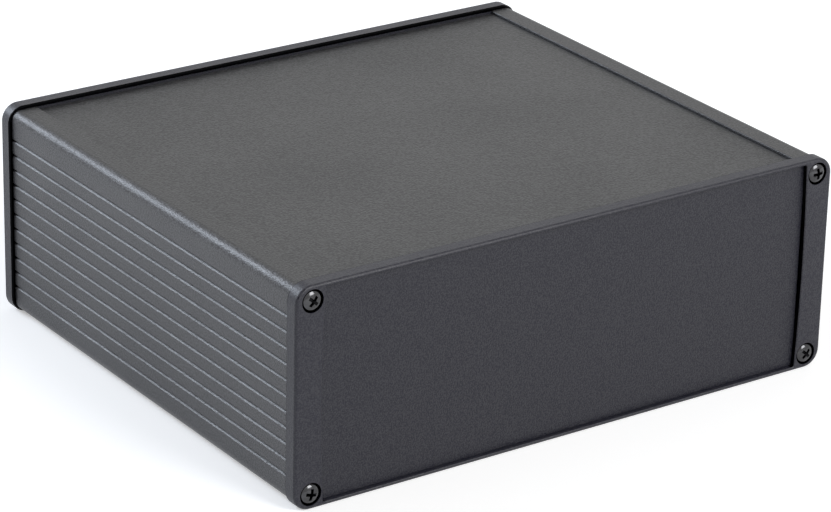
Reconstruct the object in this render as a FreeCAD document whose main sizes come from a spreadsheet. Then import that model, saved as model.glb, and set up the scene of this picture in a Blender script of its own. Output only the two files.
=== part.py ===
import FreeCAD, Part
import math
import os
import Sketcher

# Extruded aluminium instrument enclosure: two side extrusions, two cover plates,
# and at each end a panel held by a bezel with four screws.
# Millimetres. X is width, -Y is the front, +Z is up. Origin at the bottom centre.

# Driving dimensions
DIMENSIONS = [
    # whole enclosure, over the bezels
    ("overall_width", 170.0),
    ("overall_depth", 148.5),
    ("overall_height", 61.0),
    # bezel frame
    ("bezel_thickness", 4.5),
    ("bezel_proud", 1.0),
    ("bezel_corner_radius", 4.8),
    ("bezel_front_round", 0.8),
    ("bezel_back_chamfer", 0.4),
    ("bezel_lip", 1.05),
    ("bezel_strip", 7.95),
    ("window_bow", 0.7),
    ("window_corner_round", 0.5),
    ("window_chamfer", 0.2),
    # flat end panel
    ("panel_thickness", 3.0),
    ("panel_inset", 8.3),
    ("panel_clearance", 0.1),
    # bezel screws and their holes
    ("screw_inset_across", 4.9),
    ("screw_inset_up", 4.2),
    ("screw_shank_diameter", 2.7),
    ("screw_length", 10.0),
    ("head_diameter", 5.6),
    ("head_height", 2.4),
    ("head_side", 1.54),
    ("head_chamfer", 0.3),
    ("drive_span", 3.1),
    ("drive_arm", 0.85),
    ("drive_foot_span", 1.3),
    ("drive_foot_arm", 0.5),
    ("drive_depth", 1.5),
    ("counterbore_diameter", 6.3),
    ("counterbore_depth", 1.85),
    ("clearance_hole_diameter", 3.2),
    ("thread_clearance", 0.04),
    # side extrusion
    ("side_wall", 2.2),
    ("outer_corner_radius", 2.8),
    ("rail_reach", 7.7),
    ("rail_round", 0.3),
    ("rail_lip", 0.75),
    ("slot_reach", 2.0),
    ("slot_ledge", 1.2),
    ("channel_wall", 1.05),
    ("channel_mouth", 1.5),
    ("inner_round", 0.5),
    ("groove_count", 11),
    ("groove_low_margin", 7.4),
    ("groove_high_margin", 8.3),
    ("groove_width", 1.0),
    ("groove_depth", 0.45),
    ("guide_count", 5),
    ("guide_margin", 10.7),
    ("guide_gap", 1.8),
    ("guide_rib", 1.0),
    ("guide_reach", 2.0),
    # cover plates
    ("cover_thickness", 1.5),
    ("cover_slot_clearance", 0.1),
    ("cover_side_clearance", 0.15),
    ("cover_edge_chamfer", 0.2),
]

# Turn of each screw's cross recess, in degrees, as they were left by hand
FRONT_DRIVE_TURNS = {"top_left": 40, "top_right": 86, "bottom_left": 13, "bottom_right": 42}
REAR_DRIVE_TURNS = {"top_left": 8, "top_right": 41, "bottom_left": 63, "bottom_right": 27}

# Small distance that stands for touching when edges are picked by place
NEAR = 0.001

QUARTER_TURN = math.pi / 2


class Length:
    """A length in millimetres, with the sheet expression that gives it."""

    def __init__(self, value, text):
        self.value = value
        self.text = text

    def join(self, other, sign, value):
        return Length(value, "(%s %s %s)" % (self.text, sign, other.text))

    def __add__(self, other):
        other = as_length(other)
        return self.join(other, "+", self.value + other.value)

    def __sub__(self, other):
        other = as_length(other)
        return self.join(other, "-", self.value - other.value)

    def __mul__(self, other):
        other = as_length(other)
        return self.join(other, "*", self.value * other.value)

    def __truediv__(self, other):
        other = as_length(other)
        return self.join(other, "/", self.value / other.value)

    def __neg__(self):
        return Length(-self.value, "(0 - %s)" % self.text)


def as_length(number):
    """Takes a plain number as a length."""
    if isinstance(number, Length):
        return number
    return Length(float(number), repr(number))


# Document and sheet of sizes
doc = FreeCAD.newDocument("enclosure")
sheet = doc.addObject("Spreadsheet::Sheet", "sizes")


def fill_sheet():
    """Writes the driving dimensions, one to a row, and gives each its alias."""
    lengths = {}
    for row, (name, value) in enumerate(DIMENSIONS, start=1):
        sheet.set("A%d" % row, name)
        sheet.set("B%d" % row, str(value))
        sheet.setAlias("B%d" % row, name)
        lengths[name] = Length(float(value), "sizes." + name)
    return lengths


size = fill_sheet()
doc.recompute()
ZERO = as_length(0)

# Lengths that follow from the driving dimensions
body_width = size["overall_width"] - size["bezel_proud"] * 2
body_height = size["overall_height"] - size["bezel_proud"] * 2
body_length = size["overall_depth"] - size["bezel_thickness"] * 2
half_length = body_length / 2
panel_recess = size["bezel_thickness"] - size["panel_thickness"]
panel_half_width = size["overall_width"] / 2 - size["panel_inset"]
screw_half_spacing = size["overall_width"] / 2 - size["screw_inset_across"]
screw_low = size["screw_inset_up"]
screw_high = size["overall_height"] - size["screw_inset_up"]
channel_radius = size["screw_shank_diameter"] / 2 + size["thread_clearance"] / 2
channel_in = size["screw_inset_across"] - size["bezel_proud"]
channel_up = size["screw_inset_up"] - size["bezel_proud"]
slot_floor = size["rail_lip"] + size["cover_thickness"] + size["cover_slot_clearance"]
slot_end = size["rail_reach"] - size["slot_reach"]
groove_span = body_height - size["groove_low_margin"] - size["groove_high_margin"]
groove_pitch = groove_span / (size["groove_count"] - 1)
guide_pitch = (body_height - size["guide_margin"] * 2) / (size["guide_count"] - 1)


# Sketches, features and placements

def new_body(label):
    """Makes the body of one piece."""
    body = doc.addObject("PartDesign::Body", label)
    body.Label = label
    return body


def plane_of(body, role):
    """Finds one of the body's own origin planes or axes by its role."""
    for feature in body.Origin.OriginFeatures:
        if feature.Role == role:
            return feature
    raise ValueError("no origin feature " + role)


def new_sketch(body, role, name, offset=None):
    """Makes a sketch on an origin plane, moved along the plane's normal by offset."""
    sketch = body.newObject("Sketcher::SketchObject", name)
    sketch.AttachmentSupport = [(plane_of(body, role), "")]
    sketch.MapMode = "FlatFace"
    if offset is not None:
        sketch.AttachmentOffset = FreeCAD.Placement(FreeCAD.Vector(0, 0, offset.value), FreeCAD.Rotation())
        sketch.setExpression("AttachmentOffset.Base.z", offset.text)
    return sketch


def constrain(sketch, kind, length, *places):
    """Adds a dimension to the sketch and binds it to the sheet."""
    index = sketch.addConstraint(Sketcher.Constraint(kind, *places, length.value))
    sketch.setExpression("Constraints[%d]" % index, length.text)


def pin(sketch, geometry, vertex, x, y):
    """Holds one vertex of the sketch at x, y from the sheet."""
    constrain(sketch, "DistanceX", x, -1, 1, geometry, vertex)
    constrain(sketch, "DistanceY", y, -1, 1, geometry, vertex)


def towards(corner, neighbour, radius):
    """The point one radius from a square corner, on the way to its neighbour."""
    x, y = corner[0], corner[1]
    across = neighbour[0].value - x.value
    up = neighbour[1].value - y.value
    if abs(across) > abs(up):
        return (x + radius if across > 0 else x - radius), y
    return x, (y + radius if up > 0 else y - radius)


def point(x, y):
    return FreeCAD.Vector(x.value, y.value, 0)


def draw_outline(sketch, corners):
    """Draws a closed outline through corners (x, y), or (x, y, radius) where one is rounded."""
    count = len(corners)
    starts = []
    ends = []
    for index, corner in enumerate(corners):
        if len(corner) == 3:
            ends.append(towards(corner, corners[index - 1], corner[2]))
            starts.append(towards(corner, corners[(index + 1) % count], corner[2]))
        else:
            ends.append((corner[0], corner[1]))
            starts.append((corner[0], corner[1]))
    lines = []
    for index in range(count):
        after = (index + 1) % count
        segment = Part.LineSegment(point(*starts[index]), point(*ends[after]))
        line = sketch.addGeometry(segment, False)
        lines.append(line)
        pin(sketch, line, 1, *starts[index])
        if len(corners[after]) == 3:
            pin(sketch, line, 2, *ends[after])
    for index, corner in enumerate(corners):
        before = lines[index - 1]
        after = lines[index]
        if len(corner) == 3:
            draw_corner(sketch, corner, ends[index], starts[index], before, after)
        else:
            sketch.addConstraint(Sketcher.Constraint("Coincident", before, 2, after, 1))


def draw_corner(sketch, corner, entry, leave, before, after):
    """Joins two lines of the outline with a quarter circle."""
    radius = corner[2]
    start = point(*entry)
    end = point(*leave)
    centre = start + end - point(corner[0], corner[1])
    turn = (point(corner[0], corner[1]) - start).cross(end - point(corner[0], corner[1])).z
    arc_start, arc_end = (start, end) if turn > 0 else (end, start)
    from_x = FreeCAD.Vector(1, 0, 0)
    up = FreeCAD.Vector(0, 0, 1)
    first = from_x.getAngle(arc_start - centre)
    if (arc_start - centre).y < 0:
        first = -first
    quarter = Part.ArcOfCircle(Part.Circle(centre, up, radius.value), first, first + QUARTER_TURN)
    arc = sketch.addGeometry(quarter, False)
    entry_vertex, leave_vertex = (1, 2) if turn > 0 else (2, 1)
    sketch.addConstraint(Sketcher.Constraint("Coincident", before, 2, arc, entry_vertex))
    sketch.addConstraint(Sketcher.Constraint("Coincident", after, 1, arc, leave_vertex))
    constrain(sketch, "Radius", radius, arc)


def draw_circle(sketch, x, y, radius):
    """Draws a circle with its centre and radius from the sheet."""
    circle = sketch.addGeometry(Part.Circle(point(x, y), FreeCAD.Vector(0, 0, 1), radius.value), False)
    pin(sketch, circle, 3, x, y)
    constrain(sketch, "Radius", radius, circle)


def draw_rectangle(sketch, left, right, low, high, radius=None):
    """Draws a rectangle, with its corners rounded where a radius is given."""
    corners = [(left, low), (right, low), (right, high), (left, high)]
    if radius is not None:
        corners = [corner + (radius,) for corner in corners]
    draw_outline(sketch, corners)


def extrude(body, kind, name, sketch, length, reverse=False, both_ways=False):
    """Pads or pockets a sketch by a length from the sheet."""
    feature = body.newObject("PartDesign::" + kind, name)
    feature.Profile = sketch
    feature.Length = length.value
    feature.setExpression("Length", length.text)
    feature.Reversed = reverse
    if both_ways:
        feature.SideType = "Symmetric"
    return feature


def repeat_upwards(body, name, feature, sketch, count, pitch):
    """Repeats a feature along the sketch's upright axis."""
    pattern = body.newObject("PartDesign::LinearPattern", name)
    pattern.Originals = [feature]
    pattern.Direction = (sketch, ["V_Axis"])
    pattern.Mode = "Spacing"
    pattern.Offset = pitch.value
    pattern.setExpression("Offset", pitch.text)
    pattern.Occurrences = int(count.value)
    pattern.setExpression("Occurrences", count.text)
    body.Tip = pattern


def dress_edges(body, kind, name, base, picked, amount):
    """Rounds or chamfers the picked edges of a feature."""
    feature = body.newObject("PartDesign::" + kind, name)
    feature.Base = (base, picked)
    if kind == "Fillet":
        feature.Radius = amount.value
        feature.setExpression("Radius", amount.text)
    else:
        feature.Size = amount.value
        feature.setExpression("Size", amount.text)
    return feature


def edges_where(feature, test):
    """Names the edges of a feature whose bounding box passes the test."""
    names = []
    for index, edge in enumerate(feature.Shape.Edges, start=1):
        if test(edge.BoundBox):
            names.append("Edge%d" % index)
    if not names:
        raise ValueError("no edge found on " + feature.Name)
    return names


def place(piece, turn, x=ZERO, y=ZERO, z=ZERO):
    """Sets a piece's placement: its turn about the upright axis, and its position from the sheet."""
    base = FreeCAD.Vector(x.value, y.value, z.value)
    piece.Placement = FreeCAD.Placement(base, FreeCAD.Rotation(FreeCAD.Vector(0, 0, 1), turn))
    for axis, length in (("x", x), ("y", y), ("z", z)):
        piece.setExpression("Placement.Base." + axis, length.text)


def place_at_end(piece, rear):
    """Puts a bezel, a panel or its screws against the front or the rear end of the body."""
    if rear:
        place(piece, 180, y=half_length)
    else:
        place(piece, 0, y=-half_length)


# Side extrusion

def extrusion_corners():
    """Corners of the right-hand profile: the lower half, then the same upside down.

    X is 0 at the outer face and runs inwards as minus X. Y is 0 at the lower edge.
    """
    ledge_top = slot_floor + size["slot_ledge"]
    block_in = channel_in + channel_radius + size["channel_wall"]
    block_top = channel_up + channel_radius + size["channel_wall"]
    half = [
        (ZERO, ZERO, size["outer_corner_radius"]),
        (size["rail_reach"], ZERO, size["rail_round"]),
        (size["rail_reach"], size["rail_lip"]),
        (slot_end, size["rail_lip"]),
        (slot_end, slot_floor),
        (size["rail_reach"], slot_floor),
        (size["rail_reach"], ledge_top),
        (block_in, ledge_top),
        (block_in, block_top, size["inner_round"]),
        (size["side_wall"], block_top, size["inner_round"]),
    ]
    lower = [(-corner[0],) + tuple(corner[1:]) for corner in half]
    upper = [(corner[0], body_height - corner[1]) + tuple(corner[2:]) for corner in reversed(lower)]
    return lower + upper


def side_extrusion(label, turn):
    """One side wall with rails, cover slots, screw channels, board guides and fine outer grooves."""
    body = new_body(label)

    profile = new_sketch(body, "XZ_Plane", "profile")
    draw_outline(profile, extrusion_corners())
    extrude(body, "Pad", "wall", profile, body_length, both_ways=True)

    # Bores that take the bezel screws, open to the inside like a letter C
    bores = new_sketch(body, "XZ_Plane", "screw_channels")
    mouths = new_sketch(body, "XZ_Plane", "channel_mouths")
    half_mouth = size["channel_mouth"] / 2
    mouth_end = channel_up + channel_radius + size["channel_wall"] * 2
    for height, end in ((channel_up, mouth_end), (body_height - channel_up, body_height - mouth_end)):
        draw_circle(bores, -channel_in, height, channel_radius)
        low, high = (height, end) if height.value < end.value else (end, height)
        draw_rectangle(mouths, -channel_in - half_mouth, -channel_in + half_mouth, low, high)
    extrude(body, "Pocket", "channel_bores", bores, body_length, both_ways=True)
    extrude(body, "Pocket", "channel_openings", mouths, body_length, both_ways=True)

    # Pairs of ribs that hold the edge of a circuit board
    guide = new_sketch(body, "XZ_Plane", "board_guide")
    lowest_guide = size["guide_margin"]
    inner_end = -size["side_wall"] - size["guide_reach"]
    root = -size["side_wall"] / 2
    half_gap = size["guide_gap"] / 2
    upper_rib = lowest_guide + half_gap
    lower_rib = lowest_guide - half_gap - size["guide_rib"]
    draw_rectangle(guide, inner_end, root, upper_rib, upper_rib + size["guide_rib"])
    draw_rectangle(guide, inner_end, root, lower_rib, lower_rib + size["guide_rib"])
    guides = extrude(body, "Pad", "first_guide", guide, body_length, both_ways=True)
    repeat_upwards(body, "guides", guides, guide, size["guide_count"], guide_pitch)

    # Fine V grooves along the outer face
    groove = new_sketch(body, "XZ_Plane", "groove_section")
    half_width = size["groove_width"] / 2
    lowest = size["groove_low_margin"]
    draw_outline(groove, [
        (ZERO, lowest - half_width),
        (ZERO, lowest + half_width),
        (-size["groove_depth"], lowest),
    ])
    first_groove = extrude(body, "Pocket", "first_groove", groove, body_length, both_ways=True)
    repeat_upwards(body, "grooves", first_groove, groove, size["groove_count"], groove_pitch)

    side = body_width / 2
    place(body, turn, x=side if turn == 0 else -side, z=size["bezel_proud"])
    return body


# Cover plate

def cover(label, height):
    """A flat plate that lies on the floors of two facing slots."""
    body = new_body(label)
    half_width = body_width / 2 - slot_end - size["cover_side_clearance"]
    outline = new_sketch(body, "XY_Plane", "outline")
    draw_rectangle(outline, -half_width, half_width, -half_length, half_length)
    plate = extrude(body, "Pad", "plate", outline, size["cover_thickness"])
    doc.recompute()
    long_edges = edges_where(plate, lambda box: box.YLength > body_length.value / 2)
    dress_edges(body, "Chamfer", "broken_edges", plate, long_edges, size["cover_edge_chamfer"])
    place(body, 0, z=height)
    return body


# Bezel and panel

def draw_window(sketch):
    """Draws the bezel's window: straight lips, and sides that bow outwards a little."""
    low = size["bezel_lip"]
    high = size["overall_height"] - size["bezel_lip"]
    half_height = (high - low) / 2
    bow = size["window_bow"]
    middle = size["overall_width"] / 2 - size["bezel_strip"]
    corner = middle - bow
    radius = (half_height * half_height + bow * bow) / (bow * 2)
    lower = sketch.addGeometry(Part.LineSegment(point(-corner, low), point(corner, low)), False)
    upper = sketch.addGeometry(Part.LineSegment(point(corner, high), point(-corner, high)), False)
    pin(sketch, lower, 1, -corner, low)
    pin(sketch, lower, 2, corner, low)
    pin(sketch, upper, 1, corner, high)
    pin(sketch, upper, 2, -corner, high)
    half_way = low + half_height
    right = Part.Arc(point(corner, low), point(middle, half_way), point(corner, high))
    left = Part.Arc(point(-corner, high), point(-middle, half_way), point(-corner, low))
    for bowed, from_line, to_line in ((right, lower, upper), (left, upper, lower)):
        arc = sketch.addGeometry(bowed, False)
        sketch.addConstraint(Sketcher.Constraint("Coincident", from_line, 2, arc, 1))
        sketch.addConstraint(Sketcher.Constraint("Coincident", to_line, 1, arc, 2))
        constrain(sketch, "Radius", radius, arc)


def draw_screw_circles(sketch, radius):
    """Draws one circle at each corner screw of a bezel."""
    for across in (-screw_half_spacing, screw_half_spacing):
        for up in (screw_low, screw_high):
            draw_circle(sketch, across, up, radius)


def bezel(label, rear):
    """The frame round one end: bowed window, seat for the panel, and counterbored screw holes.

    The back face is at Y 0 and the front faces minus Y.
    """
    body = new_body(label)
    half_width = size["overall_width"] / 2
    thickness = size["bezel_thickness"]

    outline = new_sketch(body, "XZ_Plane", "outline")
    draw_rectangle(outline, -half_width, half_width, ZERO, size["overall_height"], size["bezel_corner_radius"])
    block = extrude(body, "Pad", "block", outline, thickness)
    doc.recompute()

    def on_front(box):
        return box.YMax < NEAR - thickness.value

    def on_back(box):
        return box.YMin > -NEAR

    front_edges = edges_where(block, on_front)
    rounded = dress_edges(body, "Fillet", "front_round", block, front_edges, size["bezel_front_round"])
    doc.recompute()
    back_edges = edges_where(rounded, on_back)
    dress_edges(body, "Chamfer", "back_edge", rounded, back_edges, size["bezel_back_chamfer"])

    # Seat for the panel, open at the back
    seat = new_sketch(body, "XZ_Plane", "seat")
    seat_half_width = panel_half_width + size["panel_clearance"]
    lip = size["bezel_lip"]
    draw_rectangle(seat, -seat_half_width, seat_half_width, lip, size["overall_height"] - lip)
    extrude(body, "Pocket", "panel_seat", seat, size["panel_thickness"], reverse=True)

    window = new_sketch(body, "XZ_Plane", "window", offset=size["panel_thickness"])
    draw_window(window)
    opened = extrude(body, "Pocket", "window_opening", window, panel_recess, reverse=True)

    holes = new_sketch(body, "XZ_Plane", "screw_holes")
    draw_screw_circles(holes, size["clearance_hole_diameter"] / 2)
    extrude(body, "Pocket", "clearance_holes", holes, thickness, reverse=True)
    seats = new_sketch(body, "XZ_Plane", "head_seats", offset=thickness - size["counterbore_depth"])
    draw_screw_circles(seats, size["counterbore_diameter"] / 2)
    bored = extrude(body, "Pocket", "counterbores", seats, size["counterbore_depth"], reverse=True)
    doc.recompute()

    # The window's corners are rounded and its front edges broken, so that they catch the light
    window_half_width = (half_width - size["bezel_strip"]).value
    window_top = size["overall_height"].value - lip.value

    def in_window(box):
        across = box.XMin > -window_half_width - NEAR and box.XMax < window_half_width + NEAR
        return across and box.ZMin > lip.value - NEAR and box.ZMax < window_top + NEAR

    def on_window_corner(box):
        ahead = box.YMax < NEAR - size["panel_thickness"].value
        return in_window(box) and ahead and box.YLength > panel_recess.value - NEAR and box.XLength < NEAR

    corner_edges = edges_where(bored, on_window_corner)
    cornered = dress_edges(body, "Fillet", "window_corners", bored, corner_edges, size["window_corner_round"])
    doc.recompute()

    def on_window(box):
        return on_front(box) and in_window(box)

    front_window = edges_where(cornered, on_window)
    dress_edges(body, "Chamfer", "window_edges", cornered, front_window, size["window_chamfer"])
    place_at_end(body, rear)
    return body


def panel(label, rear):
    """The flat plate that closes one end, between the bezel and the ends of the body."""
    body = new_body(label)
    outline = new_sketch(body, "XZ_Plane", "outline")
    low = size["bezel_lip"] + size["panel_clearance"]
    draw_rectangle(outline, -panel_half_width, panel_half_width, low, size["overall_height"] - low)
    extrude(body, "Pad", "plate", outline, size["panel_thickness"])
    place_at_end(body, rear)
    return body


# Screws

def cross_corners(span, arm):
    """Corners of a cross, with its centre at the origin."""
    reach = span / 2
    half = arm / 2
    quarter = [(reach, half), (half, half), (half, reach)]
    corners = []
    for across, up in ((1, 1), (-1, 1), (-1, -1), (1, -1)):
        arm_corners = quarter if across * up > 0 else list(reversed(quarter))
        corners += [(x * across, y * up) for x, y in arm_corners]
    return corners


def screw(label, drive_turn, across, up):
    """A pan head screw along Y: the head's seat is at Y 0 and the head faces minus Y."""
    body = new_body(label)
    head = size["head_diameter"] / 2
    shank = size["screw_shank_diameter"] / 2
    top = -size["head_height"]
    shoulder = -size["head_side"]
    end = size["screw_length"]

    section = new_sketch(body, "XY_Plane", "section")
    rise = size["head_height"] - size["head_side"]
    dome = (head * head + rise * rise) / (rise * 2)
    stops = [(head, shoulder), (head, ZERO), (shank, ZERO), (shank, end), (ZERO, end), (ZERO, top)]
    lines = []
    for start, finish in zip(stops[:-1], stops[1:]):
        line = section.addGeometry(Part.LineSegment(point(*start), point(*finish)), False)
        pin(section, line, 1, *start)
        if lines:
            section.addConstraint(Sketcher.Constraint("Coincident", lines[-1], 2, line, 1))
        lines.append(line)
    pin(section, lines[-1], 2, ZERO, top)
    crown = Part.Circle(FreeCAD.Vector(0, top.value + dome.value, 0), FreeCAD.Vector(0, 0, 1), dome.value)
    sweep = FreeCAD.Vector(0, -1, 0).getAngle(point(head, shoulder) - crown.Center)
    arc = section.addGeometry(Part.ArcOfCircle(crown, -QUARTER_TURN, -QUARTER_TURN + sweep), False)
    section.addConstraint(Sketcher.Constraint("Coincident", lines[-1], 2, arc, 1))
    section.addConstraint(Sketcher.Constraint("Coincident", lines[0], 1, arc, 2))
    constrain(section, "Radius", dome, arc)
    turned = body.newObject("PartDesign::Revolution", "turned")
    turned.Profile = section
    turned.ReferenceAxis = (section, ["V_Axis"])
    turned.Angle = 360
    doc.recompute()

    def on_shoulder(box):
        return abs(box.YMin - shoulder.value) < NEAR and abs(box.YMax - shoulder.value) < NEAR

    shoulder_edge = edges_where(turned, on_shoulder)
    dress_edges(body, "Chamfer", "broken_shoulder", turned, shoulder_edge, size["head_chamfer"])

    # Tapered cross recess
    mouth = new_sketch(body, "XZ_Plane", "recess_mouth", offset=size["head_height"])
    draw_outline(mouth, cross_corners(size["drive_span"], size["drive_arm"]))
    foot = new_sketch(body, "XZ_Plane", "recess_foot", offset=size["head_height"] - size["drive_depth"])
    draw_outline(foot, cross_corners(size["drive_foot_span"], size["drive_foot_arm"]))
    recess = body.newObject("PartDesign::SubtractiveLoft", "cross_recess")
    recess.Profile = mouth
    recess.Sections = [foot]
    recess.Ruled = True
    body.Tip = recess

    seat = size["counterbore_depth"] - size["bezel_thickness"]
    body.Placement = FreeCAD.Placement(
        FreeCAD.Vector(across.value, seat.value, up.value),
        FreeCAD.Rotation(FreeCAD.Vector(0, 1, 0), drive_turn))
    for axis, length in (("x", across), ("y", seat), ("z", up)):
        body.setExpression("Placement.Base." + axis, length.text)
    return body


def bezel_screws(label, rear, drive_turns):
    """The four screws of one bezel, as one group of separate solids."""
    corners = {
        "top_left": (-screw_half_spacing, screw_high),
        "top_right": (screw_half_spacing, screw_high),
        "bottom_left": (-screw_half_spacing, screw_low),
        "bottom_right": (screw_half_spacing, screw_low),
    }
    screws = []
    for corner, (across, up) in corners.items():
        screws.append(screw("%s_%s" % (label, corner), drive_turns[corner], across, up))
    group = doc.addObject("Part::Compound", label)
    group.Label = label
    group.Links = screws
    place_at_end(group, rear)
    return group


# All pieces
nodes = [
    side_extrusion("right_side_extrusion", 0),
    side_extrusion("left_side_extrusion", 180),
    cover("top_cover", size["bezel_proud"] + body_height - slot_floor),
    cover("bottom_cover", size["bezel_proud"] + size["rail_lip"]),
    bezel("front_bezel", False),
    bezel("rear_bezel", True),
    panel("front_panel", False),
    panel("rear_panel", True),
    bezel_screws("front_bezel_screws", False, FRONT_DRIVE_TURNS),
    bezel_screws("rear_bezel_screws", True, REAR_DRIVE_TURNS),
]
doc.recompute()


# Check every object and write the pieces
for item in doc.Objects:
    if "Invalid" in item.State or "Error" in item.State:
        raise RuntimeError("%s failed to build: %s" % (item.Label, item.State))
for node in nodes:
    if node.Shape.isNull() or not node.Shape.isValid():
        raise RuntimeError("%s has no valid shape" % node.Label)

os.makedirs("parts", exist_ok=True)
for node in nodes:
    node.Shape.exportStep("parts/%s.step" % node.Label)
    box = node.Shape.BoundBox
    print("%s: %d solids, volume %.1f, X %.2f to %.2f, Y %.2f to %.2f, Z %.2f to %.2f" % (
        node.Label, len(node.Shape.Solids), node.Shape.Volume,
        box.XMin, box.XMax, box.YMin, box.YMax, box.ZMin, box.ZMax))
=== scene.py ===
"""Looks of the extruded aluminium enclosure: sanded coats, grained bezels, plated screws."""

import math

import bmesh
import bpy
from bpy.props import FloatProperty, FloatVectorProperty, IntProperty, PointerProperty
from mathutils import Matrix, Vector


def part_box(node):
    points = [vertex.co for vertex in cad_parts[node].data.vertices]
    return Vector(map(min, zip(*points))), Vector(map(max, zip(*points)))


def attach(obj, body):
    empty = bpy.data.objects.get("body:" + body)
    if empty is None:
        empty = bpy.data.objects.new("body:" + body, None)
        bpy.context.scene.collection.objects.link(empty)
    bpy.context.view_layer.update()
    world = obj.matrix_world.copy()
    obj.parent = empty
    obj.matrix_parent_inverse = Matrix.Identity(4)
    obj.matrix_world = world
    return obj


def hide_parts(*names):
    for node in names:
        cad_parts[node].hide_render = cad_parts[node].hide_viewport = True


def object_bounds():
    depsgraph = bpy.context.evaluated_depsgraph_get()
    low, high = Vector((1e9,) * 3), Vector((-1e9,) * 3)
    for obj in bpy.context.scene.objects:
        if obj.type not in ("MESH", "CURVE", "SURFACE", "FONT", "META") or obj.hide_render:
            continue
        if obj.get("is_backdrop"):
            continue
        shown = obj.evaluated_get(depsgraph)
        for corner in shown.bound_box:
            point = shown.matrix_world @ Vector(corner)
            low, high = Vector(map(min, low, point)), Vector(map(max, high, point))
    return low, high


bl_info = {
    "name": "Extruded Aluminium Enclosure",
    "version": (1, 0, 0),
    "blender": (4, 5, 0),
    "location": "View3D > Sidebar > Enclosure",
    "description": "Finishes the extruded aluminium enclosure and sets its studio",
    "category": "Object",
}

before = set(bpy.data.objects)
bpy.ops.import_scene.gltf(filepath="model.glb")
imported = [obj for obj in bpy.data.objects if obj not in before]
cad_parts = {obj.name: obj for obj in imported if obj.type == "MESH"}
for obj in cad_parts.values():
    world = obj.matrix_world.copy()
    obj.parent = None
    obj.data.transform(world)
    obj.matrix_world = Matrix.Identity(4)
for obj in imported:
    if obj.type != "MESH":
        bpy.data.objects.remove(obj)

BODY = "root"

# The photograph's frame and the camera that the case's edges, grooves and screws give, in degrees
# and metres, with its sensor in millimetres
IMAGE_WIDTH = 831
FOCAL_LENGTH_PX = 3742.2
SENSOR_WIDTH = 36.0
CAMERA_AZIMUTH = -35.046
CAMERA_ELEVATION = 23.05
CAMERA_ROLL = 1.347
CAMERA_DISTANCE = 1.01996
CAMERA_ACROSS = -0.0016
CAMERA_UP = 0.006037

# Sand texture: the noise values of its darkest and lightest grains, how much the grains' tone
# swings, and the width in grains of the clouds that change the roughness, with their swing
GRAIN_VALUES = (0.38, 0.62)
COAT_SWING = 0.9
COVER_SWING = 0.8
CLOUD_GRAINS = 80
CLOUD_SWING = 0.03

# Where the finish of a side extrusion changes, in metres: how far the rails' finish reaches below
# their flat tops, how deep the grooves are at most, which bounds their painted shade, and the
# height that the rounded corners take
RAIL_FINISH = 0.0001
GROOVE_REACH = 0.0006
CORNER_HEIGHT = 0.003

# Where the bezels' painted shade inside starts, in metres: from their sides and tops, from their
# front, from their back, and from the corners of their outline, as the sum of across and up
INNER_FROM_SIDE = 0.0007
INNER_FROM_FRONT = 0.00025
INNER_FROM_BACK = 0.0005
INNER_FROM_CORNER = 0.0032

# Floor of the cross recess, in widths of its arms and in spans
RECESS_FLOOR_ARM = 0.6
RECESS_FLOOR_SPAN = 0.42

# Screw head: where the turned crown starts, in spans of the recess; how far the shoulder's curve
# reaches down the side, in its widths; the bevel and the neck under the head, in metres
CROWN_START = 0.56
CROWN_RINGS = 3
SHOULDER_RINGS = 6
SHOULDER_FALL = 0.7
HEAD_BEVEL = 0.00012
NECK_LENGTH = 0.001
SHARP_EDGE = math.radians(32)

# Thread: its depth in pitches, the height of its upper end from the seat in metres, and the section
# of one turn as (0 for the core or 1 for the crest, share of the pitch)
THREAD_DEPTH = 0.55
THREAD_TOP = -0.0008
THREAD_RIDGE = ((0, 0.0), (1, 0.42), (1, 0.54), (0, 0.96), (0, 1.0))

# Turn of each cross recess in degrees, anticlockwise seen from outside, by (left 0 or right 1 as
# seen from the front, bottom 0 or top 1)
FRONT_RECESS_TURNS = {(0, 0): -13, (1, 0): 48, (0, 1): 50, (1, 1): 4}
REAR_RECESS_TURNS = {(0, 0): 63, (1, 0): 27, (0, 1): 49, (1, 1): 82}

# Soft boxes, as place, width and height in metres, and the point that they light
FRONT_BOX = ((0.38, -1.2, 0.83), 0.7, 0.9)
REAR_BOX = ((-0.67, 1.13, 0.76), 0.6, 0.6)
LIT_POINT = (0.0, 0.0, 0.03)
WHITE = (1.0, 1.0, 1.0)

# The floor's roughness, and the distances in metres at which its glow is near_glow and far_glow
FLOOR_ROUGHNESS = 0.8
GLOW_DISTANCES = (0.5, 1.8)


# Sizes and colours that a user would change

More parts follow.
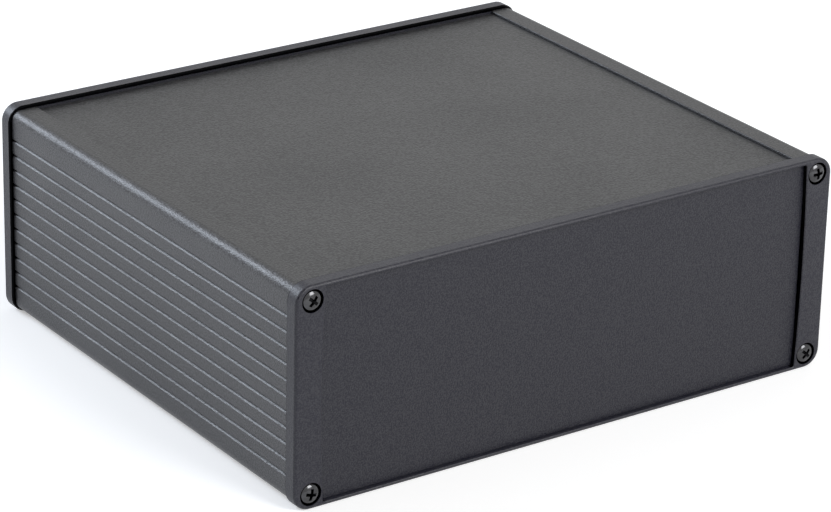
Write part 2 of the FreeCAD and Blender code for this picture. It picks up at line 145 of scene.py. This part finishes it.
class CoatSettings(bpy.types.PropertyGroup):
    """Sand-textured coat on the aluminium pieces."""

    extrusion_colour: FloatVectorProperty(
        name="Extrusion Colour", description="Coat colour of the side extrusions",
        subtype="COLOR", size=3, min=0.0, max=1.0, default=(0.03, 0.03, 0.034))
    cover_colour: FloatVectorProperty(
        name="Cover Colour", description="Coat colour of the cover plates",
        subtype="COLOR", size=3, min=0.0, max=1.0, default=(0.023, 0.023, 0.0238))
    panel_colour: FloatVectorProperty(
        name="Panel Colour", description="Coat colour of the end panels",
        subtype="COLOR", size=3, min=0.0, max=1.0, default=(0.0115, 0.0115, 0.0178))
    grain: FloatProperty(
        name="Grain", description="Width of one grain of the sand texture",
        subtype="DISTANCE", unit="LENGTH", default=0.0004, min=0.0001, max=0.002)
    cover_grain: FloatProperty(
        name="Cover Grain", description="Width of one grain of the cover plates' sand texture",
        subtype="DISTANCE", unit="LENGTH", default=0.00055, min=0.0001, max=0.002)
    panel_grain: FloatProperty(
        name="Panel Grain", description="Width of one grain of the end panels' sand texture",
        subtype="DISTANCE", unit="LENGTH", default=0.00042, min=0.0001, max=0.002)
    relief: FloatProperty(
        name="Relief", description="Height of the sand texture",
        subtype="DISTANCE", unit="LENGTH", default=0.00013, min=0.0, max=0.0003)
    extrusion_roughness: FloatProperty(
        name="Extrusion Roughness", description="Roughness of the side extrusions' coat",
        subtype="FACTOR", default=0.36, min=0.0, max=1.0)
    plate_roughness: FloatProperty(
        name="Plate Roughness", description="Roughness of the cover plates' and end panels' coat",
        subtype="FACTOR", default=0.42, min=0.0, max=1.0)
    extrusion_specular: FloatProperty(
        name="Extrusion Specular", description="Specular level of the side extrusions' coat",
        subtype="FACTOR", default=0.43, min=0.0, max=1.0)
    cover_specular: FloatProperty(
        name="Cover Specular", description="Specular level of the cover plates' coat",
        subtype="FACTOR", default=0.43, min=0.0, max=1.0)
    panel_specular: FloatProperty(
        name="Panel Specular", description="Specular level of the end panels' coat",
        subtype="FACTOR", default=0.36, min=0.0, max=1.0)
    # Painted shade at the bottom of the outer grooves: its colour, how much less it mirrors, and
    # the depth where it starts
    groove_shade_colour: FloatVectorProperty(
        name="Groove Colour", description="Colour at the bottom of the outer grooves",
        subtype="COLOR", size=3, min=0.0, max=1.0, default=(0.006, 0.006, 0.0068))
    groove_shade: FloatProperty(
        name="Groove Shade", description="How much less the bottom of the outer grooves mirrors",
        subtype="FACTOR", default=0.6, min=0.0, max=1.0)
    groove_edge: FloatProperty(
        name="Groove Edge", description="Depth below the outer face at which the grooves turn dark",
        subtype="DISTANCE", unit="LENGTH", default=0.00027, min=0.0, max=0.001)


class BezelSettings(bpy.types.PropertyGroup):
    """Moulded bezels."""

    colour: FloatVectorProperty(
        name="Colour", description="Colour of the moulded plastic",
        subtype="COLOR", size=3, min=0.0, max=1.0, default=(0.0105, 0.0105, 0.0175))
    roughness: FloatProperty(
        name="Roughness", description="Roughness of the moulded plastic",
        subtype="FACTOR", default=0.42, min=0.0, max=1.0)
    specular: FloatProperty(
        name="Specular", description="Specular level of the moulded plastic",
        subtype="FACTOR", default=0.4, min=0.0, max=1.0)
    # Painted shade inside the window, the screw holes and the back: its colour, the width of the
    # strips it covers, and its roughness
    inner_shade_colour: FloatVectorProperty(
        name="Inner Colour", description="Colour inside the window, the screw holes and the back",
        subtype="COLOR", size=3, min=0.0, max=1.0, default=(0.003, 0.003, 0.0035))
    strip_width: FloatProperty(
        name="Strip Width",
        description="Width at each side in which the window and the screw holes are dark inside",
        subtype="DISTANCE", unit="LENGTH", default=0.0095, min=0.001)
    inner_roughness: FloatProperty(
        name="Inner Roughness",
        description="Roughness inside the window, the screw holes and the back",
        subtype="FACTOR", default=0.14, min=0.0, max=1.0)
    grain: FloatProperty(
        name="Grain", description="Width of one grain of the moulded texture",
        subtype="DISTANCE", unit="LENGTH", default=0.0004, min=0.0001, max=0.002)
    relief: FloatProperty(
        name="Relief", description="Height of the moulded texture",
        subtype="DISTANCE", unit="LENGTH", default=0.0001, min=0.0, max=0.0003)


class ScrewSettings(bpy.types.PropertyGroup):
    """Plated screws."""

    colour: FloatVectorProperty(
        name="Colour", description="Colour of the black plating",
        subtype="COLOR", size=3, min=0.0, max=1.0, default=(0.066, 0.066, 0.069))
    # Painted shade: the cross recess gets a darker plating than the head
    recess_shade_colour: FloatVectorProperty(
        name="Recess Colour", description="Colour of the plating inside the cross recess",
        subtype="COLOR", size=3, min=0.0, max=1.0, default=(0.012, 0.012, 0.013))
    roughness: FloatProperty(
        name="Roughness", description="Roughness of the black plating",
        subtype="FACTOR", default=0.14, min=0.0, max=1.0)
    head_diameter: FloatProperty(
        name="Head Diameter", description="Diameter of the pan head",
        subtype="DISTANCE", unit="LENGTH", default=0.0056, min=0.001)
    head_height: FloatProperty(
        name="Head Height", description="Height of the pan head above its seat",
        subtype="DISTANCE", unit="LENGTH", default=0.0024, min=0.0005)
    head_side: FloatProperty(
        name="Head Side",
        description="Height at which the crown meets the side, before the shoulder is rounded",
        subtype="DISTANCE", unit="LENGTH", default=0.00154, min=0.0002)
    shoulder_round: FloatProperty(
        name="Shoulder Round", description="Width of the rounding between crown and side",
        subtype="DISTANCE", unit="LENGTH", default=0.00055, min=0.0001)
    recess_span: FloatProperty(
        name="Recess Span", description="Span of the cross recess at the crown",
        subtype="DISTANCE", unit="LENGTH", default=0.0031, min=0.0005)
    recess_arm: FloatProperty(
        name="Recess Arm", description="Width of the cross recess's arms at the crown",
        subtype="DISTANCE", unit="LENGTH", default=0.00085, min=0.0002)
    recess_depth: FloatProperty(
        name="Recess Depth", description="Depth of the cross recess",
        subtype="DISTANCE", unit="LENGTH", default=0.0015, min=0.0002)
    thread_diameter: FloatProperty(
        name="Thread Diameter", description="Diameter over the thread's crests",
        subtype="DISTANCE", unit="LENGTH", default=0.0027, min=0.0005)
    thread_pitch: FloatProperty(
        name="Thread Pitch", description="Rise of the thread in one turn",
        subtype="DISTANCE", unit="LENGTH", default=0.0005, min=0.0001)
    steps: IntProperty(
        name="Steps", description="Faces round the head and in each turn of the thread",
        default=40, min=12, max=96)


class StudioSettings(bpy.types.PropertyGroup):
    """Floor, light and camera."""

    floor_size: FloatProperty(
        name="Floor Size", description="Side of the square floor",
        subtype="DISTANCE", unit="LENGTH", default=12.0, min=1.0)
    floor_colour: FloatVectorProperty(
        name="Floor Colour", description="Colour of the pale floor",
        subtype="COLOR", size=3, min=0.0, max=1.0, default=(0.85, 0.85, 0.85))
    world_strength: FloatProperty(
        name="World Strength", description="Strength of the soft light from all round",
        default=0.32, min=0.0)
    front_power: FloatProperty(
        name="Front Power", description="Power of the soft box above the front",
        unit="POWER", default=18.0, min=0.0)
    rear_power: FloatProperty(
        name="Rear Power", description="Power of the soft box behind the left side",
        unit="POWER", default=16.5, min=0.0)
    rear_colour: FloatVectorProperty(
        name="Rear Colour", description="Colour of the soft box behind the left side",
        subtype="COLOR", size=3, min=0.0, max=1.0, default=(0.8, 0.88, 1.0))
    near_glow: FloatProperty(
        name="Near Glow",
        description="White that the floor adds near the enclosure, for the camera and in gloss",
        default=0.4, min=0.0)
    far_glow: FloatProperty(
        name="Far Glow",
        description="White that the floor adds further off, past the soft boxes' light",
        default=0.68, min=0.0)


# Node helpers

def new_material(name):
    """A material with its node tree, which holds a shader and an output, and the shader."""
    material = bpy.data.materials.new(name)
    material.use_nodes = True
    tree = material.node_tree
    shader = tree.nodes["Principled BSDF"]
    return material, tree, shader


def object_position(tree):
    """Object coordinates, which stay with the piece."""
    return tree.nodes.new("ShaderNodeTexCoord").outputs["Object"]


def noise(tree, position, size, detail=2.0):
    """Noise whose features are about as wide as size, in metres."""
    node = tree.nodes.new("ShaderNodeTexNoise")
    node.inputs["Scale"].default_value = 1.0 / size
    node.inputs["Detail"].default_value = detail
    tree.links.new(position, node.inputs["Vector"])
    return node.outputs["Fac"]


def spread(tree, value, low, high, from_low=0.3, from_high=0.7):
    """Maps a value that lies about from_low to from_high onto low to high."""
    node = tree.nodes.new("ShaderNodeMapRange")
    node.inputs["From Min"].default_value = from_low
    node.inputs["From Max"].default_value = from_high
    node.inputs["To Min"].default_value = low
    node.inputs["To Max"].default_value = high
    tree.links.new(value, node.inputs["Value"])
    return node.outputs["Result"]


def blend(tree, factor, first, second):
    """Goes from first to second as factor goes from 0 to 1; each is a colour or a socket."""
    # A Mix node's sockets for colours are inputs 6 and 7 and output 2, and input 0 is the factor
    node = tree.nodes.new("ShaderNodeMix")
    node.data_type = "RGBA"
    tree.links.new(factor, node.inputs[0])
    for value, socket in ((first, node.inputs[6]), (second, node.inputs[7])):
        if isinstance(value, bpy.types.NodeSocket):
            tree.links.new(value, socket)
        else:
            socket.default_value = [*value, 1.0]
    return node.outputs[2]


def tint(tree, factor, colour, swing):
    """The colour with a grey swing, in parts of the colour, taken off at 0 and added at 1."""
    grey = min(colour) * swing
    return blend(tree, factor, [channel - grey for channel in colour],
                 [channel + grey for channel in colour])


def compute(tree, operation, first, second=0.0):
    """One Math node on sockets or numbers."""
    node = tree.nodes.new("ShaderNodeMath")
    node.operation = operation
    for value, socket in ((first, node.inputs[0]), (second, node.inputs[1])):
        if isinstance(value, bpy.types.NodeSocket):
            tree.links.new(value, socket)
        else:
            socket.default_value = value
    return node.outputs["Value"]


def all_of(tree, masks):
    """1 where every mask is 1."""
    joined = masks[0]
    for mask in masks[1:]:
        joined = compute(tree, "MULTIPLY", joined, mask)
    return joined


def from_middle(tree, node):
    """How far a point is, either way, from X 0, from Y 0 and from the node's mid height."""
    low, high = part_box(node)
    axes = tree.nodes.new("ShaderNodeSeparateXYZ")
    tree.links.new(object_position(tree), axes.inputs["Vector"])
    height = compute(tree, "SUBTRACT", axes.outputs["Z"], (low[2] + high[2]) / 2)
    return [compute(tree, "ABSOLUTE", socket)
            for socket in (axes.outputs["X"], axes.outputs["Y"], height)]


def recoat(tree, mask, name, value):
    """Gives one of the shader's inputs another number or colour where the mask is 1."""
    socket = tree.nodes["Principled BSDF"].inputs[name]
    if socket.type == "RGBA":
        mixed = blend(tree, mask, socket.links[0].from_socket, value)
    else:
        mix = tree.nodes.new("ShaderNodeMix")
        mix.inputs["A"].default_value = socket.default_value
        if socket.links:
            tree.links.new(socket.links[0].from_socket, mix.inputs["A"])
        mix.inputs["B"].default_value = value
        tree.links.new(mask, mix.inputs["Factor"])
        mixed = mix.outputs["Result"]
    tree.links.new(mixed, socket)


def relief(tree, shader, height, distance):
    """Bumps the shader's normal by a height from 0 to 1."""
    node = tree.nodes.new("ShaderNodeBump")
    node.inputs["Distance"].default_value = distance
    tree.links.new(height, node.inputs["Height"])
    tree.links.new(node.outputs["Normal"], shader.inputs["Normal"])


def speckled(tree, grain, colour, swing):
    """The colour with grains that are darker and lighter by a grey swing."""
    return tint(tree, spread(tree, grain, 0.0, 1.0, *GRAIN_VALUES), colour, swing)


def sanded(name, colour, specular, roughness, width, height, swing=COAT_SWING):
    """A dark satin finish with a fine sand texture, as a powder coat or a mould gives."""
    material, tree, shader = new_material(name)
    position = object_position(tree)
    # The rails' finish finds the grain by its name
    grain = noise(tree, position, width)
    grain.node.name = "grain"
    cloud = noise(tree, position, width * CLOUD_GRAINS)
    tree.links.new(speckled(tree, grain, colour, swing), shader.inputs["Base Color"])
    rough = spread(tree, cloud, roughness - CLOUD_SWING, roughness + CLOUD_SWING)
    tree.links.new(rough, shader.inputs["Roughness"])
    shader.inputs["Specular IOR Level"].default_value = specular
    relief(tree, shader, grain, height)
    return material


def plating(name, colour, width, swing, low, high, detail=2.0):
    """A black plating with wear about as wide as width, and a roughness from low to high."""
    material, tree, shader = new_material(name)
    wear = noise(tree, object_position(tree), width, detail)
    tree.links.new(tint(tree, wear, colour, swing), shader.inputs["Base Color"])
    tree.links.new(spread(tree, wear, low, high), shader.inputs["Roughness"])
    shader.inputs["Metallic"].default_value = 1.0
    return material


def coat_nodes(nodes, material):
    """Gives carried-over pieces their finish."""
    for node in nodes:
        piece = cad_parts[node]
        piece.data.materials.clear()
        piece.data.materials.append(material)


# Pieces

class ENCLOSURE_OT_side_extrusions(bpy.types.Operator):
    """Coats the two side extrusions"""

    bl_idname = "enclosure.side_extrusions"
    bl_label = "Side Extrusions"

    def execute(self, context):
        coat = context.scene.enclosure_coat
        material = sanded("extrusion_coat", coat.extrusion_colour, coat.extrusion_specular,
                          coat.extrusion_roughness, coat.grain, coat.relief)
        self.match_rails(material.node_tree, coat)
        self.shade_grooves(material.node_tree, coat)
        coat_nodes(("left_side_extrusion", "right_side_extrusion"), material)
        return {"FINISHED"}

    def match_rails(self, tree, coat):
        """Gives the rails' flat tops the cover plates' tone and grain."""
        low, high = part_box("left_side_extrusion")
        _, _, up = from_middle(tree, "left_side_extrusion")
        top = compute(tree, "GREATER_THAN", up, (high[2] - low[2]) / 2 - RAIL_FINISH)
        grain = tree.nodes["grain"]
        scale = spread(tree, top, 1.0 / coat.grain, 1.0 / coat.cover_grain, 0.0, 1.0)
        tree.links.new(scale, grain.inputs["Scale"])
        tone = speckled(tree, grain.outputs["Fac"], coat.cover_colour, COVER_SWING)
        recoat(tree, top, "Base Color", tone)
        recoat(tree, top, "Roughness", coat.plate_roughness)

    def shade_grooves(self, tree, coat):
        """Paints shade on the bottoms of the outer grooves, where little light gets in."""
        low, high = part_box("left_side_extrusion")
        across, _, up = from_middle(tree, "left_side_extrusion")
        bottom = all_of(tree, (
            compute(tree, "LESS_THAN", across, -low[0] - coat.groove_edge),
            compute(tree, "GREATER_THAN", across, -low[0] - GROOVE_REACH),
            compute(tree, "LESS_THAN", up, (high[2] - low[2]) / 2 - CORNER_HEIGHT),
        ))
        # Painted shade: near black, and partly metallic so that it mirrors less
        recoat(tree, bottom, "Base Color", coat.groove_shade_colour)
        recoat(tree, bottom, "Metallic", coat.groove_shade)


class ENCLOSURE_OT_covers(bpy.types.Operator):
    """Coats the two cover plates"""

    bl_idname = "enclosure.covers"
    bl_label = "Cover Plates"

    def execute(self, context):
        coat = context.scene.enclosure_coat
        material = sanded("cover_coat", coat.cover_colour, coat.cover_specular,
                          coat.plate_roughness, coat.cover_grain, coat.relief, COVER_SWING)
        coat_nodes(("top_cover", "bottom_cover"), material)
        return {"FINISHED"}


class ENCLOSURE_OT_panels(bpy.types.Operator):
    """Coats the two end panels"""

    bl_idname = "enclosure.panels"
    bl_label = "End Panels"

    def execute(self, context):
        coat = context.scene.enclosure_coat
        material = sanded("panel_coat", coat.panel_colour, coat.panel_specular,
                          coat.plate_roughness, coat.panel_grain, coat.relief)
        coat_nodes(("front_panel", "rear_panel"), material)
        return {"FINISHED"}


class ENCLOSURE_OT_bezels(bpy.types.Operator):
    """Finishes the two moulded bezels"""

    bl_idname = "enclosure.bezels"
    bl_label = "Bezels"

    def execute(self, context):
        bezel = context.scene.enclosure_bezel
        material = sanded("bezel_plastic", bezel.colour, bezel.specular,
                          bezel.roughness, bezel.grain, bezel.relief)
        self.paint_inner_shade(material.node_tree, bezel)
        coat_nodes(("front_bezel", "rear_bezel"), material)
        return {"FINISHED"}

    def paint_inner_shade(self, tree, bezel):
        """Paints shade, smooth and nearly black, on the window's upright walls, the screw holes and
        the back.
        """
        low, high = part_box("front_bezel")
        side, top = high[0], (high[2] - low[2]) / 2
        across, along, up = from_middle(tree, "front_bezel")
        diagonal = compute(tree, "ADD", across, up)
        within = all_of(tree, (
            compute(tree, "GREATER_THAN", across, side - bezel.strip_width),
            compute(tree, "LESS_THAN", across, side - INNER_FROM_SIDE),
            compute(tree, "LESS_THAN", up, top - INNER_FROM_SIDE),
            compute(tree, "LESS_THAN", diagonal, side + top - INNER_FROM_CORNER),
            compute(tree, "LESS_THAN", along, -low[1] - INNER_FROM_FRONT),
        ))
        back = compute(tree, "LESS_THAN", along, -high[1] + INNER_FROM_BACK)
        # The painted shade covers these strips and the back
        inside = compute(tree, "MAXIMUM", within, back)
        recoat(tree, inside, "Base Color", bezel.inner_shade_colour)
        recoat(tree, inside, "Roughness", bezel.inner_roughness)
        # Painted shade: as a metal, the near black of these faces mirrors less of the white floor
        recoat(tree, inside, "Metallic", 1.0)


def crown_height(screw, radius):
    """Height of the domed crown at a distance from the screw's axis."""
    rise = screw.head_height - screw.head_side
    half = screw.head_diameter / 2
    dome = (half * half + rise * rise) / (2 * rise)
    return screw.head_height - dome + math.sqrt(dome * dome - radius * radius)


def spin_section(form, section, steps, turns=1, climb=0.0):
    """Spins a section of (radius, height) points round Z, climbing by climb in each turn."""
    corners = [form.verts.new((radius, 0.0, height)) for radius, height in section]
    edges = [form.edges.new(pair) for pair in zip(corners[:-1], corners[1:])]
    bmesh.ops.spin(
        form, geom=corners + edges, cent=(0, 0, 0), axis=(0, 0, 1), dvec=(0, 0, climb / steps),
        angle=math.tau * turns, steps=steps * turns, use_merge=climb == 0.0)


def open_edges(form):
    """The form's edges that have one face."""
    return [edge for edge in form.edges if edge.is_boundary]


def recess_form(screw):
    """The cross recess: a small cross for its floor, and walls that widen up to the crown."""
    form = bmesh.new()
    arm = screw.recess_arm * RECESS_FLOOR_ARM / 2
    reach = screw.recess_span * RECESS_FLOOR_SPAN / 2
    bmesh.ops.create_grid(form, x_segments=1, y_segments=1, size=arm)
    for edge in open_edges(form):
        outwards = (edge.verts[0].co + edge.verts[1].co).normalized()
        grown = bmesh.ops.extrude_edge_only(form, edges=[edge])["geom"]
        ends = [item for item in grown if isinstance(item, bmesh.types.BMVert)]
        bmesh.ops.translate(form, verts=ends, vec=outwards * (reach - arm))
    floor = screw.head_height - screw.recess_depth
    bmesh.ops.translate(form, verts=form.verts[:], vec=(0, 0, floor))
    grown = bmesh.ops.extrude_edge_only(form, edges=open_edges(form))["geom"]
    for corner in (item for item in grown if isinstance(item, bmesh.types.BMVert)):
        for axis in (0, 1):
            at_end = abs(corner.co[axis]) > (arm + reach) / 2
            width = screw.recess_span if at_end else screw.recess_arm
            corner.co[axis] = math.copysign(width / 2, corner.co[axis])
        corner.co.z = crown_height(screw, corner.co.xy.length)
    # The recess takes the screws' second material, which paints shade into it
    for face in form.faces:
        face.material_index = 1
    return form


def head_section(screw):
    """Half section of the head, from the crown over the shoulder and in under the head."""
    half = screw.head_diameter / 2
    inner = screw.recess_span * CROWN_START
    start = half - screw.shoulder_round
    section = []
    for step in range(CROWN_RINGS + 1):
        radius = inner + (start - inner) * step / CROWN_RINGS
        section.append((radius, crown_height(screw, radius)))
    # The shoulder is a curve from the crown to the side, drawn towards their corner
    high = section[-1][1]
    low = screw.head_side - screw.shoulder_round * SHOULDER_FALL
    for step in range(1, SHOULDER_RINGS + 1):
        part = step / SHOULDER_RINGS
        first, middle, last = (1 - part) ** 2, 2 * part * (1 - part), part ** 2
        section.append((first * start + middle * half + last * half,
                        first * high + middle * screw.head_side + last * low))
    neck = screw.thread_diameter / 2
    under = [(half, HEAD_BEVEL), (half - HEAD_BEVEL, 0.0), (neck, 0.0), (neck, -NECK_LENGTH)]
    return section + under


def head_form(screw):
    """A pan head with its cross recess; its seat is at Z 0 and its axis on Z."""
    form = recess_form(screw)
    rim = open_edges(form)
    spin_section(form, head_section(screw), screw.steps)
    # The crown's inner ring is the one open ring above the seat, apart from the recess's rim
    ring = [edge for edge in open_edges(form) if edge not in rim
            and min(corner.co.z for corner in edge.verts) > 0]
    bmesh.ops.triangle_fill(form, use_beauty=True, edges=rim + ring, normal=(0, 0, 1))
    bmesh.ops.holes_fill(form, edges=open_edges(form), sides=0)
    return form


def thread_form(screw, length):
    """The threaded shank, cut square at both ends."""
    form = bmesh.new()
    pitch, crest = screw.thread_pitch, screw.thread_diameter / 2
    core = crest - pitch * THREAD_DEPTH
    near = pitch * 0.01
    # The turns start and end outside the length, which then cuts them
    turns = math.ceil(length / pitch) + 2
    low = -length - pitch * 1.5
    section = [(crest if raised else core, low + pitch * part) for raised, part in THREAD_RIDGE]
    spin_section(form, section, screw.steps // 2, turns, pitch)
    bmesh.ops.remove_doubles(form, verts=form.verts[:], dist=near)
    for height, outer in ((THREAD_TOP, True), (-length, False)):
        bmesh.ops.bisect_plane(
            form, geom=form.verts[:] + form.edges[:] + form.faces[:], dist=near / 10,
            plane_co=(0, 0, height), plane_no=(0, 0, 1), clear_outer=outer, clear_inner=not outer)
        cut = [edge for edge in open_edges(form)
               if all(abs(corner.co.z - height) < near for corner in edge.verts)]
        bmesh.ops.holes_fill(form, edges=cut, sides=0)
    return form


def screw_form(screw, length):
    """One whole screw as a mesh, its seat at Z 0 and its head up."""
    whole = bpy.data.meshes.new("screw")
    head = head_form(screw)
    thread = thread_form(screw, length - screw.head_height)
    part = bpy.data.meshes.new("thread")
    thread.to_mesh(part)
    head.from_mesh(part)
    bmesh.ops.recalc_face_normals(head, faces=head.faces[:])
    for face in head.faces:
        face.smooth = True
    for edge in head.edges:
        if len(edge.link_faces) == 2 and edge.calc_face_angle() > SHARP_EDGE:
            edge.smooth = False
    head.to_mesh(whole)
    head.free()
    thread.free()
    bpy.data.meshes.remove(part)
    return whole


class ENCLOSURE_OT_screws(bpy.types.Operator):
    """Builds the four screws of each bezel, with cross recess and thread"""

    bl_idname = "enclosure.screws"
    bl_label = "Bezel Screws"

    def execute(self, context):
        screw = context.scene.enclosure_screw
        materials = (
            plating("screw_plating", screw.colour, width=0.0009, swing=0.4,
                    low=screw.roughness * 0.8, high=screw.roughness * 1.25, detail=3.0),
            # Second material: the same plating, darker, as painted shade in the cross recess
            plating("screw_recess_shade", screw.recess_shade_colour, width=0.0005, swing=0.5,
                    low=0.2, high=0.35),
        )
        self.bezel_screws("front", FRONT_RECESS_TURNS, materials, screw)
        self.bezel_screws("rear", REAR_RECESS_TURNS, materials, screw)
        return {"FINISHED"}

    def bezel_screws(self, end, turns, materials, screw):
        """One bezel's four screws, where the CAD has them."""
        low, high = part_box(end + "_bezel_screws")
        half = screw.head_diameter / 2
        across = (low[0] + half, high[0] - half)
        up = (low[2] + half, high[2] - half)
        seat = low[1] + screw.head_height if end == "front" else high[1] - screw.head_height
        lean = math.radians(90 if end == "front" else -90)
        one = screw_form(screw, high[1] - low[1])
        group = bmesh.new()
        for (side, level), turn in turns.items():
            place = (Matrix.Translation((across[side], seat, up[level]))
                     @ Matrix.Rotation(lean, 4, "X") @ Matrix.Rotation(math.radians(turn), 4, "Z"))
            first = len(group.verts)
            group.from_mesh(one)
            group.verts.ensure_lookup_table()
            bmesh.ops.transform(group, matrix=place, verts=group.verts[first:])
        mesh = bpy.data.meshes.new(end + "_plated_screws")
        group.to_mesh(mesh)
        group.free()
        bpy.data.meshes.remove(one)
        for material in materials:
            mesh.materials.append(material)
        piece = bpy.data.objects.new(end + "_plated_screws", mesh)
        bpy.context.scene.collection.objects.link(piece)
        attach(piece, BODY)
        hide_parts(end + "_bezel_screws")


# Studio

def shows_background(tree):
    """1 for camera rays and for what gloss and glass show, else 0."""
    path = tree.nodes.new("ShaderNodeLightPath")
    seen = compute(tree, "MAXIMUM", path.outputs["Is Camera Ray"], path.outputs["Is Glossy Ray"])
    return compute(tree, "MAXIMUM", seen, path.outputs["Is Transmission Ray"])


def add_floor(studio):
    """A pale floor that shows white to the camera and keeps the enclosure's shadow."""
    mesh = bpy.data.meshes.new("floor")
    grid = bmesh.new()
    bmesh.ops.create_grid(grid, x_segments=1, y_segments=1, size=studio.floor_size / 2)
    grid.to_mesh(mesh)
    grid.free()
    floor = bpy.data.objects.new("floor", mesh)
    bpy.context.scene.collection.objects.link(floor)
    floor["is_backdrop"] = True
    material, tree, shader = new_material("floor_white")
    shader.inputs["Base Color"].default_value = [*studio.floor_colour, 1.0]
    shader.inputs["Roughness"].default_value = FLOOR_ROUGHNESS
    reach = tree.nodes.new("ShaderNodeVectorMath")
    reach.operation = "LENGTH"
    tree.links.new(object_position(tree), reach.inputs[0])
    glow = tree.nodes.new("ShaderNodeEmission")
    strength = spread(tree, reach.outputs["Value"], studio.near_glow, studio.far_glow,
                      *GLOW_DISTANCES)
    tree.links.new(strength, glow.inputs["Strength"])
    both = tree.nodes.new("ShaderNodeAddShader")
    seen = tree.nodes.new("ShaderNodeMixShader")
    tree.links.new(shader.outputs["BSDF"], both.inputs[0])
    tree.links.new(glow.outputs["Emission"], both.inputs[1])
    tree.links.new(shows_background(tree), seen.inputs["Fac"])
    tree.links.new(shader.outputs["BSDF"], seen.inputs[1])
    tree.links.new(both.outputs["Shader"], seen.inputs[2])
    tree.links.new(seen.outputs["Shader"], tree.nodes["Material Output"].inputs["Surface"])
    mesh.materials.append(material)


def set_world(studio):
    """Soft light from all round, white to the camera."""
    world = bpy.data.worlds.new("studio")
    world.use_nodes = True
    bpy.context.scene.world = world
    tree = world.node_tree
    tree.nodes.clear()
    output = tree.nodes.new("ShaderNodeOutputWorld")
    seen = tree.nodes.new("ShaderNodeMixShader")
    tree.links.new(shows_background(tree), seen.inputs["Fac"])
    for strength, socket in ((studio.world_strength, seen.inputs[1]), (1.0, seen.inputs[2])):
        white = tree.nodes.new("ShaderNodeBackground")
        white.inputs["Color"].default_value = [*WHITE, 1.0]
        white.inputs["Strength"].default_value = strength
        tree.links.new(white.outputs["Background"], socket)
    tree.links.new(seen.outputs["Shader"], output.inputs["Surface"])


def add_soft_box(name, box, power, colour):
    """An area light that points at the enclosure."""
    place, width, height = box
    data = bpy.data.lights.new(name, "AREA")
    data.shape = "RECTANGLE"
    data.size = width
    data.size_y = height
    data.energy = power
    data.color = colour
    light = bpy.data.objects.new(name, data)
    light.location = place
    light.rotation_mode = "QUATERNION"
    light.rotation_quaternion = (Vector(LIT_POINT) - Vector(place)).to_track_quat("-Z", "Y")
    bpy.context.scene.collection.objects.link(light)


def camera_axes():
    """The camera's right, up and backward directions."""
    azimuth = math.radians(CAMERA_AZIMUTH)
    elevation = math.radians(CAMERA_ELEVATION)
    roll = math.radians(CAMERA_ROLL)
    level = math.cos(elevation)
    back = Vector((math.sin(azimuth) * level, -math.cos(azimuth) * level, math.sin(elevation)))
    right = (-back).cross(Vector((0, 0, 1))).normalized()
    up = right.cross(-back)
    turned_right = right * math.cos(roll) + up * math.sin(roll)
    turned_up = up * math.cos(roll) - right * math.sin(roll)
    return turned_right, turned_up, back


def add_camera():
    """The photograph's camera."""
    low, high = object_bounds()
    right, up, back = camera_axes()
    data = bpy.data.cameras.new("camera")
    data.sensor_width = SENSOR_WIDTH
    data.lens = SENSOR_WIDTH * FOCAL_LENGTH_PX / IMAGE_WIDTH
    camera = bpy.data.objects.new("camera", data)
    centre = (low + high) / 2
    place = centre + back * CAMERA_DISTANCE - right * CAMERA_ACROSS - up * CAMERA_UP
    turn = Matrix((right, up, back)).transposed().to_4x4()
    camera.matrix_world = Matrix.Translation(place) @ turn
    bpy.context.scene.collection.objects.link(camera)
    bpy.context.scene.camera = camera


class ENCLOSURE_OT_stage(bpy.types.Operator):
    """Sets the floor, the soft light and the camera"""

    bl_idname = "enclosure.stage"
    bl_label = "Stage"

    def execute(self, context):
        studio = context.scene.enclosure_studio
        context.scene.view_settings.view_transform = "Standard"
        add_floor(studio)
        set_world(studio)
        add_soft_box("front_box", FRONT_BOX, studio.front_power, WHITE)
        add_soft_box("rear_box", REAR_BOX, studio.rear_power, studio.rear_colour)
        add_camera()
        return {"FINISHED"}


class ENCLOSURE_PT_pieces(bpy.types.Panel):
    """Lists the enclosure's pieces"""

    bl_label = "Enclosure"
    bl_idname = "ENCLOSURE_PT_pieces"
    bl_space_type = "VIEW_3D"
    bl_region_type = "UI"
    bl_category = "Enclosure"

    def draw(self, context):
        for operator in OPERATORS:
            self.layout.operator(operator.bl_idname)


SETTINGS = {
    "enclosure_coat": CoatSettings,
    "enclosure_bezel": BezelSettings,
    "enclosure_screw": ScrewSettings,
    "enclosure_studio": StudioSettings,
}
OPERATORS = (
    ENCLOSURE_OT_side_extrusions,
    ENCLOSURE_OT_covers,
    ENCLOSURE_OT_panels,
    ENCLOSURE_OT_bezels,
    ENCLOSURE_OT_screws,
    ENCLOSURE_OT_stage,
)


def register():
    """Adds the settings, the operators and the panel."""
    for name, group in SETTINGS.items():
        bpy.utils.register_class(group)
        setattr(bpy.types.Scene, name, PointerProperty(type=group))
    for operator in OPERATORS:
        bpy.utils.register_class(operator)
    bpy.utils.register_class(ENCLOSURE_PT_pieces)


def unregister():
    """Takes away what register added."""
    bpy.utils.unregister_class(ENCLOSURE_PT_pieces)
    for operator in reversed(OPERATORS):
        bpy.utils.unregister_class(operator)
    for name, group in SETTINGS.items():
        delattr(bpy.types.Scene, name)
        bpy.utils.unregister_class(group)


def main():
    """Makes every piece and the stage."""
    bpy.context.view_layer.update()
    register()
    bpy.ops.enclosure.side_extrusions()
    bpy.ops.enclosure.covers()
    bpy.ops.enclosure.panels()
    bpy.ops.enclosure.bezels()
    bpy.ops.enclosure.screws()
    bpy.ops.enclosure.stage()


if __name__ == "__main__":
    main()
